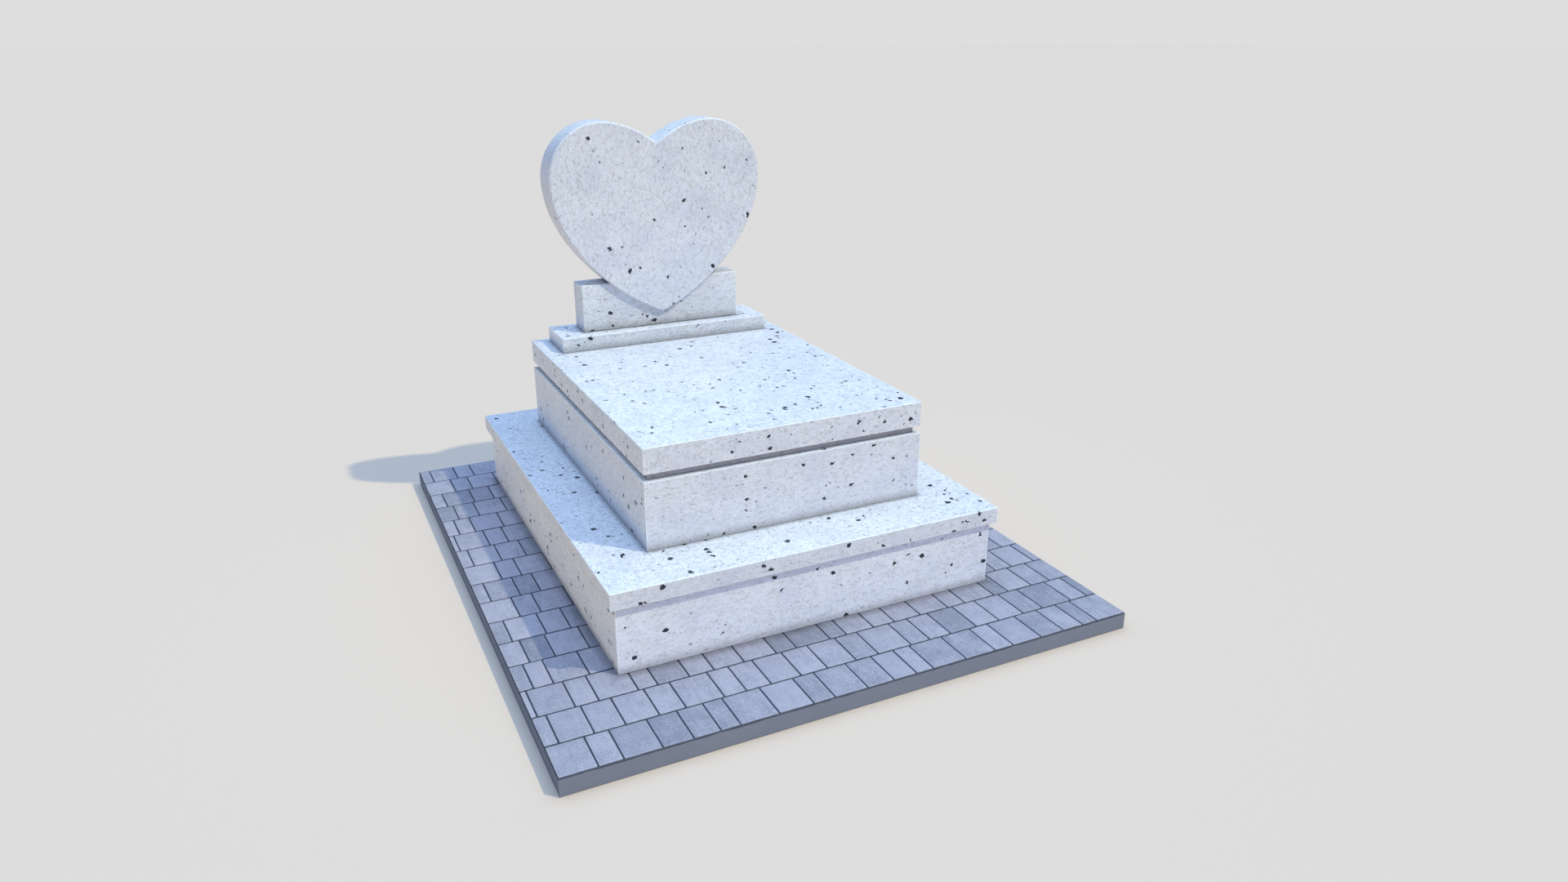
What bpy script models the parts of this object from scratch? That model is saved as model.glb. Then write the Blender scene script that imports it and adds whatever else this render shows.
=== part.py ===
"""Granite grave monument with a heart-shaped headstone, on a paved base.

Metres, +Z up, front towards -Y. The origin is at the middle of the base's underside.
From the ground up: a concrete bed with courses of pavers, a kerb box, a landing slab,
a chest box, a recessed course, the ledger, a plinth, a block, and the heart seated in it.
"""
import math

import bmesh
import bpy
from mathutils import Matrix, Vector
from mathutils.geometry import interpolate_bezier

# Clearances between pieces
BED_GAP = 0.0003          # under every stone, where it beds on the piece below
MITRE_GAP = 0.0003        # across each mitred corner of the kerb and the chest
SEAT_GAP = 0.0003         # between the heart and its seat in the block
COURSE_GAP = 0.0003       # between neighbouring courses of pavers

# Paved base
PAVING_WIDTH = 2.227
PAVING_DEPTH = 2.672
BED_THICKNESS = 0.032
PAVER_THICKNESS = 0.040
COURSE_DEPTH = 0.167      # nominal; the whole number of courses that fits is used
PAVER_MODULE = 0.0116     # a paver is a few modules wide, joint included
JOINT_WIDTH = 0.005
JOINT_DEPTH = 0.004

# Kerb box, four mitred slabs
KERB_WIDTH = 1.556
KERB_DEPTH = 1.956
KERB_HEIGHT = 0.266
KERB_WALL = 0.080
KERB_BACK_MARGIN = 0.269  # paving left behind the kerb

# Landing slab on the kerb
LANDING_OVERHANG = 0.022
LANDING_THICKNESS = 0.0665

# Chest box, four mitred slabs
CHEST_WIDTH = 1.158
CHEST_DEPTH = 1.574
CHEST_HEIGHT = 0.2715
CHEST_WALL = 0.080
CHEST_BACK_MARGIN = 0.181  # landing left behind the chest

# Recessed course and ledger
RECESS_INSET = 0.022
RECESS_HEIGHT = 0.028
LEDGER_THICKNESS = 0.101

# Headstone plinth
PLINTH_WIDTH = 1.005
PLINTH_DEPTH = 0.2445
PLINTH_HEIGHT = 0.067
PLINTH_BACK_MARGIN = 0.040

# Block that holds the heart
BLOCK_WIDTH = 0.765
BLOCK_THICKNESS = 0.1305
BLOCK_HEIGHT = 0.217
BLOCK_BACK_MARGIN = 0.049

# Heart stone
HEART_WIDTH = 0.999
HEART_HEIGHT = 0.865
HEART_PROUD = 0.021       # how far its face stands before the block
HEART_TIP_LIFT = 0.067    # stone left in the block under the point

# Edge finish
SLAB_ARRIS = 0.002
BLOCK_ARRIS = 0.004
HEART_CHAMFER = 0.006

# Heart outline as shares of its half width and of its height, above the point
CLEFT_SHARE = 0.888
SHOULDER_SHARE = 0.713
CLEFT_HANDLE_SHARES = (0.598, 0.252)
RISE_HANDLE_SHARE = 0.205
FALL_HANDLE_SHARE = 0.347
POINT_HANDLE_SHARES = (0.386, 0.084)
OUTLINE_STEPS = 22

# Widths of one repeat of pavers, in modules, for courses counted from the front,
# each after the modules by which the course is shifted
LAYING_PATTERN = (
    (0.0, (11, 7, 11, 9, 8, 6, 12)),
    (4.2, (10, 9, 10, 8, 12, 7, 8)),
    (1.9, (11, 7, 12, 6, 10, 8, 10)),
    (4.4, (6, 11, 11, 11, 7, 10, 8)),
    (6.8, (8, 11, 7, 9, 6, 9, 14)),
    (4.8, (11, 8, 6, 12, 7, 9, 11)),
    (10.7, (7, 11, 6, 12, 8, 9, 11)),
    (4.2, (10, 7, 12, 8, 10, 6, 11)),
)

GRANITE = (0.80, 0.81, 0.86)
PAVER_GREY = (0.33, 0.37, 0.50)
CONCRETE = (0.20, 0.22, 0.27)

# Levels, each the top of the piece it names
BED_TOP = BED_THICKNESS
PAVING_TOP = BED_TOP + PAVER_THICKNESS
KERB_TOP = PAVING_TOP + KERB_HEIGHT
LANDING_TOP = KERB_TOP + LANDING_THICKNESS
CHEST_TOP = LANDING_TOP + CHEST_HEIGHT
RECESS_TOP = CHEST_TOP + RECESS_HEIGHT
LEDGER_TOP = RECESS_TOP + LEDGER_THICKNESS
PLINTH_TOP = LEDGER_TOP + PLINTH_HEIGHT
BLOCK_TOP = PLINTH_TOP + BLOCK_HEIGHT
HEART_TIP = PLINTH_TOP + HEART_TIP_LIFT

# Plan: back faces, front to back along +Y
PAVING_BACK = PAVING_DEPTH / 2
KERB_BACK = PAVING_BACK - KERB_BACK_MARGIN
LANDING_BACK = KERB_BACK + LANDING_OVERHANG
CHEST_BACK = LANDING_BACK - CHEST_BACK_MARGIN
PLINTH_BACK = CHEST_BACK - PLINTH_BACK_MARGIN
BLOCK_BACK = PLINTH_BACK - BLOCK_BACK_MARGIN


def clear_scene():
    """Remove what the file opened with."""
    for obj in list(bpy.data.objects):
        bpy.data.objects.remove(obj, do_unlink=True)


def finish(obj, colour, roughness):
    """Give an object its own plain stone material."""
    material = bpy.data.materials.new(obj.name + "_stone")
    material.use_nodes = True
    shader = material.node_tree.nodes["Principled BSDF"]
    shader.inputs["Base Color"].default_value = (*colour, 1.0)
    shader.inputs["Roughness"].default_value = roughness
    shader.inputs["Metallic"].default_value = 0.0
    obj.data.materials.append(material)


def add_object(name, bm, location=(0.0, 0.0, 0.0), turn=0.0):
    """Turn a bmesh into a placed object with outward faces."""
    bmesh.ops.recalc_face_normals(bm, faces=bm.faces)
    mesh = bpy.data.meshes.new(name)
    bm.to_mesh(mesh)
    bm.free()
    obj = bpy.data.objects.new(name, mesh)
    obj.location = location
    obj.rotation_euler = (0.0, 0.0, turn)
    bpy.context.scene.collection.objects.link(obj)
    return obj


def box_mesh(size, arris):
    """A box of the given size, centred in plan with its base at 0, with every arris taken off."""
    bm = bmesh.new()
    bmesh.ops.create_cube(bm, size=1.0)
    bmesh.ops.scale(bm, vec=size, verts=bm.verts)
    bmesh.ops.translate(bm, vec=(0.0, 0.0, size[2] / 2), verts=bm.verts)
    if arris > 0.0:
        bmesh.ops.bevel(bm, geom=bm.edges[:], offset=arris, segments=1, affect="EDGES")
    return bm


def slab(name, width, depth, back, low, high, arris=SLAB_ARRIS):
    """A flat stone between two levels, bedded on what is below it, its back face at y = back."""
    height = high - low - BED_GAP
    obj = add_object(name, box_mesh((width, depth, height), arris),
                     (0.0, back - depth / 2, low + BED_GAP))
    finish(obj, GRANITE, 0.35)
    return obj


def wall(name, length, thickness, low, high, centre, reach, turn):
    """One mitred side of a box: its outer face is reach from the centre, then turned into place.

    The section runs along X, and each of its points ends on the mitre plane, so a point that
    lies deeper in the wall ends that much sooner.
    """
    height = high - low - BED_GAP
    cut = SLAB_ARRIS
    section = (
        (cut, 0.0), (thickness - cut, 0.0), (thickness, cut), (thickness, height - cut),
        (thickness - cut, height), (cut, height), (0.0, height - cut), (0.0, cut),
    )
    bm = bmesh.new()
    ends = []
    for side in (-1, 1):
        ring = []
        for depth, level in section:
            x = side * (length / 2 - depth - MITRE_GAP / 2)
            ring.append(bm.verts.new((x, depth - reach, level)))
        ends.append(ring)
        bm.faces.new(ring)
    count = len(section)
    for i in range(count):
        j = (i + 1) % count
        bm.faces.new((ends[0][i], ends[0][j], ends[1][j], ends[1][i]))
    obj = add_object(name, bm, (0.0, centre, low + BED_GAP), turn)
    finish(obj, GRANITE, 0.35)
    return obj


def mitred_box(name, width, depth, thickness, back, low, high):
    """Four slabs on edge, mitred at the corners, round a hollow."""
    centre = back - depth / 2
    sides = (
        ("front", width, depth, 0.0), ("right", depth, width, math.pi / 2),
        ("back", width, depth, math.pi), ("left", depth, width, -math.pi / 2),
    )
    for side, length, across, turn in sides:
        wall(f"{name}_{side}", length, thickness, low, high, centre, across / 2, turn)


def paver_edges(shift, widths):
    """X positions of the joints across one course, from the left edge of the paving to the right."""
    left = -PAVING_WIDTH / 2
    edges = [left]
    x = left + (shift - sum(widths)) * PAVER_MODULE
    index = 0
    while x < left + PAVING_WIDTH:
        if x > left + 2 * JOINT_WIDTH and x < left + PAVING_WIDTH - 2 * JOINT_WIDTH:
            edges.append(x)
        x += widths[index % len(widths)] * PAVER_MODULE
        index += 1
    edges.append(left + PAVING_WIDTH)
    return edges


def paver_course(name, front, pitch, edges):
    """One course of pavers, fused by the mortar between them, as a stepped strip.

    The top is laid out as a grid: columns alternate joint and paver, rows are joint, paver,
    joint. Paver cells stand a joint's depth above the mortar.
    """
    half = JOINT_WIDTH / 2
    columns = [edges[0]]
    for left, right in zip(edges, edges[1:]):
        columns += [left + half, right - half]
    columns.append(edges[-1])
    low_y = front + COURSE_GAP / 2
    high_y = front + pitch - COURSE_GAP / 2
    rows = [low_y, front + half, front + pitch - half, high_y]
    bottom = BED_TOP + BED_GAP
    mortar = PAVING_TOP - JOINT_DEPTH

    bm = bmesh.new()
    floor = [[bm.verts.new((x, y, mortar)) for x in columns] for y in rows]
    for r in range(3):
        for c in range(len(columns) - 1):
            if r == 1 and c % 2 == 1:
                cell = (floor[1][c], floor[1][c + 1], floor[2][c + 1], floor[2][c])
                top = [bm.verts.new((v.co.x, v.co.y, PAVING_TOP)) for v in cell]
                bm.faces.new(top)
                for k in range(4):
                    n = (k + 1) % 4
                    bm.faces.new((cell[k], cell[n], top[n], top[k]))
            else:
                bm.faces.new((floor[r][c], floor[r][c + 1], floor[r + 1][c + 1], floor[r + 1][c]))
    corners = (floor[0][0], floor[0][-1], floor[3][-1], floor[3][0])
    base = [bm.verts.new((v.co.x, v.co.y, bottom)) for v in corners]
    bm.faces.new(base)
    front_run = floor[0]
    right_run = [row[-1] for row in floor]
    back_run = floor[3][::-1]
    left_run = [row[0] for row in floor][::-1]
    for k, run in enumerate((front_run, right_run, back_run, left_run)):
        bm.faces.new((base[k], base[(k + 1) % 4], *run[::-1]))
    obj = add_object(name, bm)
    finish(obj, PAVER_GREY, 0.8)
    return obj


def paving():
    """The concrete bed and the courses of pavers laid over all of it."""
    bed = add_object("base_bed", box_mesh((PAVING_WIDTH, PAVING_DEPTH, BED_THICKNESS), 0.0))
    finish(bed, CONCRETE, 0.85)
    count = max(1, round(PAVING_DEPTH / COURSE_DEPTH))
    pitch = PAVING_DEPTH / count
    for index in range(count):
        shift, widths = LAYING_PATTERN[index % len(LAYING_PATTERN)]
        front = -PAVING_DEPTH / 2 + index * pitch
        paver_course(f"paver_course_{index + 1:02d}", front, pitch, paver_edges(shift, widths))


def heart_outline():
    """Points round the heart in X and Z, from the cleft over the right lobe and back.

    Each half is two curves that meet upright at the widest place.
    """
    half = HEART_WIDTH / 2
    cleft = Vector((0.0, CLEFT_SHARE * HEART_HEIGHT, 0.0))
    shoulder = Vector((half, SHOULDER_SHARE * HEART_HEIGHT, 0.0))
    point = Vector((0.0, 0.0, 0.0))
    across, up = CLEFT_HANDLE_SHARES
    cleft_handle = cleft + Vector((across * half, up * HEART_HEIGHT, 0.0))
    rise_handle = shoulder + Vector((0.0, RISE_HANDLE_SHARE * HEART_HEIGHT, 0.0))
    fall_handle = shoulder - Vector((0.0, FALL_HANDLE_SHARE * HEART_HEIGHT, 0.0))
    across, up = POINT_HANDLE_SHARES
    point_handle = Vector((across * half, up * HEART_HEIGHT, 0.0))
    lobe = interpolate_bezier(cleft, cleft_handle, rise_handle, shoulder, OUTLINE_STEPS)
    flank = interpolate_bezier(shoulder, fall_handle, point_handle, point, OUTLINE_STEPS)
    right = [(p.x, HEART_TIP + p.y) for p in lobe[:-1] + flank]
    left = [(-x, z) for x, z in right[-2:0:-1]]
    return right + left


def grown(outline, gap):
    """The same closed outline, moved outwards by gap with its corners kept sharp."""
    moved = []
    count = len(outline)
    for i in range(count):
        before, here, after = (Vector(outline[(i + k) % count]) for k in (-1, 0, 1))
        first = (here - before).normalized()
        second = (after - here).normalized()
        outward = (Vector((-first.y, first.x)) + Vector((-second.y, second.x))).normalized()
        moved.append(here + outward * gap / Vector((-first.y, first.x)).dot(outward))
    return moved


def plate_mesh(outline, front, back):
    """A plate of the given outline in X and Z between two planes along Y, and its rim edges."""
    bm = bmesh.new()
    rings = [[bm.verts.new((x, y, z)) for x, z in outline] for y in (front, back)]
    faces = [bm.faces.new(ring) for ring in rings]
    rims = {edge for face in faces for edge in face.edges}
    for i in range(len(outline)):
        j = (i + 1) % len(outline)
        bm.faces.new((rings[0][i], rings[0][j], rings[1][j], rings[1][i]))
    return bm, list(rims)


def heart_and_block():
    """The heart, and the block with a seat cut to the heart's own outline."""
    block_front = BLOCK_BACK - BLOCK_THICKNESS
    outline = heart_outline()
    bm, rims = plate_mesh(outline, block_front - HEART_PROUD, BLOCK_BACK)
    bmesh.ops.bevel(bm, geom=rims, offset=HEART_CHAMFER, segments=1, affect="EDGES")
    heart = add_object("heart_stone", bm)
    finish(heart, GRANITE, 0.25)

    block = slab("headstone_block", BLOCK_WIDTH, BLOCK_THICKNESS, BLOCK_BACK,
                 PLINTH_TOP, BLOCK_TOP, BLOCK_ARRIS)
    overshoot = BLOCK_THICKNESS
    seat, _ = plate_mesh(grown(outline, SEAT_GAP), block_front - overshoot, BLOCK_BACK + overshoot)
    cutter = add_object("seat_cutter", seat)
    cutter.hide_render = True
    cutter.display_type = "WIRE"
    cut = block.modifiers.new("heart_seat", "BOOLEAN")
    cut.operation = "DIFFERENCE"
    cut.solver = "EXACT"
    cut.object = cutter


def main():
    clear_scene()
    paving()
    mitred_box("kerb", KERB_WIDTH, KERB_DEPTH, KERB_WALL, KERB_BACK, PAVING_TOP, KERB_TOP)
    slab("landing_slab", KERB_WIDTH + 2 * LANDING_OVERHANG, KERB_DEPTH + 2 * LANDING_OVERHANG,
         LANDING_BACK, KERB_TOP, LANDING_TOP)
    mitred_box("chest", CHEST_WIDTH, CHEST_DEPTH, CHEST_WALL, CHEST_BACK, LANDING_TOP, CHEST_TOP)
    slab("recess_course", CHEST_WIDTH - 2 * RECESS_INSET, CHEST_DEPTH - 2 * RECESS_INSET,
         CHEST_BACK - RECESS_INSET, CHEST_TOP, RECESS_TOP)
    slab("ledger", CHEST_WIDTH, CHEST_DEPTH, CHEST_BACK, RECESS_TOP, LEDGER_TOP)
    slab("headstone_plinth", PLINTH_WIDTH, PLINTH_DEPTH, PLINTH_BACK, LEDGER_TOP, PLINTH_TOP)
    heart_and_block()


main()
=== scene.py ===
# %% [markdown]
# # A granite grave monument with a heart, on a paved base
#
# The solids of the monument come from its construction model, imported from model.glb.
# This script dresses them: it stands the camera and the lights, gives each stone its grain and its
# black flecks, rubs the sharp arrises off, cuts the heart again with a smooth outline, and lays the
# pavers one by one on their bed. Before each step a few sentences say what the thing is on the real
# monument, how it could be made in Blender, and why this way was chosen.

# %% Load the imported model
import math

import bmesh
import bpy
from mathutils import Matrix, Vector, noise
from mathutils.geometry import interpolate_bezier


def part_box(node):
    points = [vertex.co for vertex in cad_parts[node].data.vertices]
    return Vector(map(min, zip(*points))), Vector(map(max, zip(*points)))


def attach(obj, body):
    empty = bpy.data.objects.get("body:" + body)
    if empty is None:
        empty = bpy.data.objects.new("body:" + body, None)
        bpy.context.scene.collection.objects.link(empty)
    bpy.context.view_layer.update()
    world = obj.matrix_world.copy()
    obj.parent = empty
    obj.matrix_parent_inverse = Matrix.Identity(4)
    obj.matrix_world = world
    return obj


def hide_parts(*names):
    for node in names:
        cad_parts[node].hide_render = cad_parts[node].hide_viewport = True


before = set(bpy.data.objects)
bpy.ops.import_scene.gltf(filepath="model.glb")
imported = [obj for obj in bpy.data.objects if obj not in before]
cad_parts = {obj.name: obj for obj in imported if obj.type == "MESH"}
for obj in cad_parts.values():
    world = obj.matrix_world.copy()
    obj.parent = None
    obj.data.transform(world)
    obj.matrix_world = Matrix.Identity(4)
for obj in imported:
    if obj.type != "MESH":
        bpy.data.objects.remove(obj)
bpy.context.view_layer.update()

# %% [markdown]
# ## The photograph's camera
#
# The camera stands left of the foot end, a little above the heart, and looks down on the ledger.
# Its place and lens were worked out from the monument's own straight edges. A Track To constraint
# can aim a camera too, but two plain angles say the same and leave nothing live behind.

# %% Place the camera
CAMERA_PLACE = (-1.6669, -3.9868, 2.1554)
CAMERA_TURN = 0.4589       # radians, to the right of straight ahead
CAMERA_TILT = 0.3645       # radians, down from level
CAMERA_LENS = 24.444       # mm
SENSOR_WIDTH = 36.0        # mm

camera = bpy.data.objects.new("camera", bpy.data.cameras.new("camera"))
camera.location = CAMERA_PLACE
camera.rotation_euler = (math.pi / 2 - CAMERA_TILT, 0.0, -CAMERA_TURN)
camera.data.sensor_width = SENSOR_WIDTH
camera.data.lens = CAMERA_LENS
bpy.context.scene.collection.objects.link(camera)
bpy.context.scene.camera = camera
print("camera looks down by", round(math.degrees(CAMERA_TILT), 1), "degrees")

# %% [markdown]
# ## Node maths as plain expressions
#
# A procedural finish is mostly arithmetic on textures, and so is a shape that follows a rule.
# Wired by hand, every plus and minus is one node and two links. The small class below wraps a
# socket, so that `1 - mask * 0.5` adds those nodes itself, in a shader or in Geometry Nodes.
# Every other node comes from one method, which sets its settings first and then its sockets.

# %% A wrapped socket, and the tree that it is in
class Wire:
    """One output socket; arithmetic on it adds Math nodes to its tree."""

    def __init__(self, recipe, socket):
        self.recipe = recipe
        self.socket = socket

    def maths(self, operation, *values):
        sockets = dict(enumerate(values))
        return self.recipe.node("ShaderNodeMath", {"operation": operation}, sockets)

    def __add__(self, other):
        return self.maths("ADD", self, other)

    def __radd__(self, other):
        return self.maths("ADD", other, self)

    def __sub__(self, other):
        return self.maths("SUBTRACT", self, other)

    def __rsub__(self, other):
        return self.maths("SUBTRACT", other, self)

    def __mul__(self, other):
        return self.maths("MULTIPLY", self, other)

    def __rmul__(self, other):
        return self.maths("MULTIPLY", other, self)

    def __truediv__(self, other):
        return self.maths("DIVIDE", self, other)

    def __rtruediv__(self, other):
        return self.maths("DIVIDE", other, self)

    def __abs__(self):
        return self.maths("ABSOLUTE", self)

    def least(self, other):
        return self.maths("MINIMUM", self, other)

    def most(self, other):
        return self.maths("MAXIMUM", self, other)


class Recipe:
    """A node tree that is being written."""

    def __init__(self, tree):
        self.tree = tree

    def put(self, socket, value):
        """Link a wire to a socket, or set the socket to a plain value."""
        if isinstance(value, Wire):
            self.tree.links.new(value.socket, socket)
        else:
            socket.default_value = value

    def node(self, kind, settings, sockets, output=0):
        """Add a node: its settings first, then its sockets, and give back one output."""
        made = self.tree.nodes.new(kind)
        for name, value in settings.items():
            setattr(made, name, value)
        for key, value in sockets.items():
            self.put(made.inputs[key], value)
        return Wire(self, made.outputs[output])

    def vector(self, operation, *values):
        sockets = dict(enumerate(values))
        return self.node("ShaderNodeVectorMath", {"operation": operation}, sockets)

    def scaled(self, vector, factor):
        sockets = {"Vector": vector, "Scale": factor}
        return self.node("ShaderNodeVectorMath", {"operation": "SCALE"}, sockets)

    def parts(self, vector):
        """The X, Y and Z of a vector."""
        first = self.node("ShaderNodeSeparateXYZ", {}, {"Vector": vector})
        outputs = first.socket.node.outputs
        return first, Wire(self, outputs[1]), Wire(self, outputs[2])

    def mixed(self, factor, first, second, blend="MIX"):
        """Two colours mixed by a factor."""
        settings = {"data_type": "RGBA", "blend_type": blend}
        sockets = {0: factor, 6: opaque(first), 7: opaque(second)}
        return self.node("ShaderNodeMix", settings, sockets, output=2)

    def eased(self, value, low, high):
        """0 below low and 1 above high, or the other way where low is the higher, with soft ends."""
        settings = {"interpolation_type": "SMOOTHSTEP"}
        if low < high:
            return self.node("ShaderNodeMapRange", settings,
                             {"Value": value, "From Min": low, "From Max": high})
        sockets = {"Value": value, "From Min": high, "From Max": low, "To Min": 1.0, "To Max": 0.0}
        return self.node("ShaderNodeMapRange", settings, sockets)

    def noise(self, place, per_metre, detail=2.0, output=0):
        sockets = {"Vector": place, "Scale": per_metre, "Detail": detail}
        return self.node("ShaderNodeTexNoise", {}, sockets, output)


def opaque(colour):
    """A plain colour with its alpha added; a wire as it is."""
    return colour if isinstance(colour, Wire) else (*colour, 1.0)


print("node maths ready")

# %% [markdown]
# ## Light and floor
#
# Outdoors the monument stands in sun from the front right, under a blue sky that fills the shadows,
# on ground that throws light back up at its sides. A studio does the same with plain things: a sun
# lamp for the direction of the shadows, a dome that is light blue overhead and dark low down, a
# pale floor, and two weak low panels: a cool one in front and a warm one at the left. An image of a
# sky would do too, but it would be a file to load, and its shapes would show in the gloss. The dome
# shows plain grey to the camera, so the strip above the floor looks like the floor. Light linking
# keeps the panels off the floor, where they would draw bright streaks, and the warm one off the
# bed, whose left side lies in the deepest shade.

# %% Hang the sun
SUN_TRAVEL = (-0.57, 0.555, -1.0)
SUN_COLOUR = (1.0, 0.952, 0.63)
SUN_STRENGTH = 1.733       # watts on a square metre that faces it
SUN_WIDTH = 1.2            # degrees; a wider lamp gives softer shadow edges


def hang_lamp(name, kind, travel, colour, energy):
    """A lamp that shines along a direction, unseen by the camera itself."""
    lamp = bpy.data.objects.new(name, bpy.data.lights.new(name, kind))
    lamp.rotation_euler = Vector(travel).to_track_quat("-Z", "Y").to_euler()
    lamp.data.color = colour
    lamp.data.energy = energy
    lamp.visible_camera = False
    bpy.context.scene.collection.objects.link(lamp)
    return lamp


sun = hang_lamp("sun", "SUN", SUN_TRAVEL, SUN_COLOUR, SUN_STRENGTH)
sun.data.angle = math.radians(SUN_WIDTH)
print("sun stands", round(math.degrees(math.asin(1 / Vector(SUN_TRAVEL).length))), "degrees high")

# %% Raise the dome
SKY_OVERHEAD = (1.15, 1.66, 2.47)
SKY_LOW = (0.0, 0.0, 0.0)
SKY_START = 0.35           # how high the blue begins, where 0 is the horizon and 1 is overhead
SEEN_GREY = (0.73, 0.73, 0.73)

bpy.context.scene.view_settings.view_transform = "Standard"
world = bpy.data.worlds.new("studio")
world.use_nodes = True
bpy.context.scene.world = world
dome = Recipe(world.node_tree)
_, _, height = dome.parts(dome.node("ShaderNodeTexCoord", {}, {}, output="Generated"))
sky = dome.mixed(dome.eased(height, SKY_START, 1.0), SKY_LOW, SKY_OVERHEAD)
seen = dome.node("ShaderNodeLightPath", {}, {}, output="Is Camera Ray")
dome.put(world.node_tree.nodes["Background"].inputs["Color"], dome.mixed(seen, sky, SEEN_GREY))
print("dome ready, overhead", SKY_OVERHEAD)

# %% Lay the floor
FLOOR_COLOUR = (0.698, 0.562, 0.459)
FLOOR_REACH = 200.0        # metres to each side, so that its end looks like the horizon

floor_mesh = bpy.data.meshes.new("floor")
floor_mesh.from_pydata([(x * FLOOR_REACH, y * FLOOR_REACH, 0.0)
                        for x, y in ((-1, -1), (1, -1), (1, 1), (-1, 1))], [], [(0, 1, 2, 3)])
floor = bpy.data.objects.new("floor", floor_mesh)
bpy.context.scene.collection.objects.link(floor)
floor_finish = bpy.data.materials.new("floor_paper")
floor_finish.use_nodes = True
floor_shader = floor_finish.node_tree.nodes["Principled BSDF"]
floor_shader.inputs["Base Color"].default_value = (*FLOOR_COLOUR, 1.0)
floor_shader.inputs["Roughness"].default_value = 1.0
floor_shader.inputs["Specular IOR Level"].default_value = 0.0
floor_mesh.materials.append(floor_finish)

# %% Stand the panels
PANELS = {                 # place, direction, size, colour, watts
    "panel_front": ((0.3, -5.2, 0.3), (0.0, 1.0, 0.0), (4.0, 0.3), (0.61, 0.66, 1.0), 32.0),
    "panel_left": ((-1.8, -0.1, 0.11), (1.0, 0.0, 0.0), (2.8, 0.2), (1.0, 0.70, 0.06), 3.8),
}


def spare(panel, thing):
    """Keep a panel's light off one object."""
    spared = panel.light_linking.receiver_collection
    spared.objects.link(thing)
    spared.collection_objects[-1].light_linking.link_state = "EXCLUDE"


for name, (place, travel, size, colour, watts) in PANELS.items():
    panel = hang_lamp(name, "AREA", travel, colour, watts)
    panel.location = place
    panel.data.shape = "RECTANGLE"
    panel.data.size, panel.data.size_y = size
    panel.light_linking.receiver_collection = bpy.data.collections.new("spared_by_" + name)
    spare(panel, floor)
print(len(PANELS), "panels stand")

# %% [markdown]
# ## White granite
#
# The stone is a pale granite: feldspar and quartz in grains of a few millimetres, faint lavender
# clouds as wide as a hand, and single black grains of mica, which often come in twos. A scanned
# picture would repeat on slabs this large and smear round the arrises. A solid texture does
# neither, because the slab is cut out of it, as a saw cuts a slab out of the block.
#
# Voronoi cells are the grains. Each cell has a random colour of its own, so a rule such as "the
# cells whose red is under two in a hundred are mica" picks out single grains, and the distance to
# the cell's middle gives them a radius. A plane through them cuts them large and small, as the saw
# does, and a noise that pushes the place about makes them ragged. A slow noise makes the pick more
# likely in some places, and that gives the twos. On upward faces, which are polished finest, the
# mottle comes out more clearly.

# %% Grains of one mineral
STONE_GLOSS = 0.35         # specular level, where 0.5 is that of glass
SOFT_EDGE = 0.03           # of a grain, as a share of its cell


def shader_socket(material, name):
    """A named input of a material's Principled shader."""
    return material.node_tree.nodes["Principled BSDF"].inputs[name]


def finish_recipe(name):
    """A new material with a Principled shader, and the recipe that writes it."""
    material = bpy.data.materials.new(name)
    material.use_nodes = True
    shader_socket(material, "Specular IOR Level").default_value = STONE_GLOSS
    return material, Recipe(material.node_tree)


def grain_colours(recipe, place, per_metre):
    """The three random numbers of the grain that each point lies in."""
    sockets = {"Vector": place, "Scale": per_metre}
    return recipe.parts(recipe.node("ShaderNodeTexVoronoi", {}, sockets, output="Color"))


def specks(recipe, place, per_metre, share, least, most):
    """1 inside round grains in a share of the cells, with a random radius, and a random number."""
    sockets = {"Vector": place, "Scale": per_metre}
    away = recipe.node("ShaderNodeTexVoronoi", {}, sockets, output="Distance")
    colours = Wire(recipe, away.socket.node.outputs["Color"])
    chance, size, depth = recipe.parts(colours)
    picked = recipe.eased(chance - share, 0.0002, -0.0002)
    radius = (least + (most - least) * size) * per_metre
    return picked * recipe.eased(away - radius, SOFT_EDGE, -SOFT_EDGE), depth


def wandering(recipe, place, per_metre, far):
    """The place pushed about by noise, so that straight grain edges come out ragged."""
    push = recipe.noise(place, per_metre, 3.0, output="Color")
    centred = recipe.vector("SUBTRACT", push, (0.5, 0.5, 0.5))
    return recipe.vector("ADD", place, recipe.scaled(centred, 2.0 * far))


print("grain helpers ready, gloss", STONE_GLOSS)

# %% [markdown]
# ## Wear and painted highlight on the arrises, painted shade at the foot
#
# The arrises of the slabs are rubbed a little lighter and rougher than the faces. This is wear,
# and the lighter colour is in part a painted highlight, the bright line that a lit arris shows. In
# the corner where one slab stands on another, on both of them, the colour is darkened: painted
# shade, with a little dirt. A bevel node and an ambient occlusion node would find these places at
# render time, but they are slow, and what they read can't be baked for every engine. These stones
# are boxes, so plain arithmetic does. At an arris, two of the three distances to the faces are
# small, which makes the middle one small. On the slab below, the distance from the standing stone
# is the larger of the two in plan.

# %% Masks that follow a stone's box
SHADE_EDGE_SCALE = 9.0           # waves per metre of the uneven edge of the painted shade


def from_middle(recipe, here, low, high):
    """How far outside a box each point lies along X, Y and Z; negative inside."""
    offset = recipe.vector("ABSOLUTE", recipe.vector("SUBTRACT", here, tuple((low + high) / 2)))
    return recipe.parts(recipe.vector("SUBTRACT", offset, tuple((high - low) / 2)))


def arris_mask(recipe, here, low, high, width):
    """1 on the arrises of a box, falling to 0 over a width."""
    x, y, z = from_middle(recipe, here, low, high)
    middle = x.least(y).most(x.most(y).least(z))
    return recipe.eased(middle, -width, 0.0)


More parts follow.
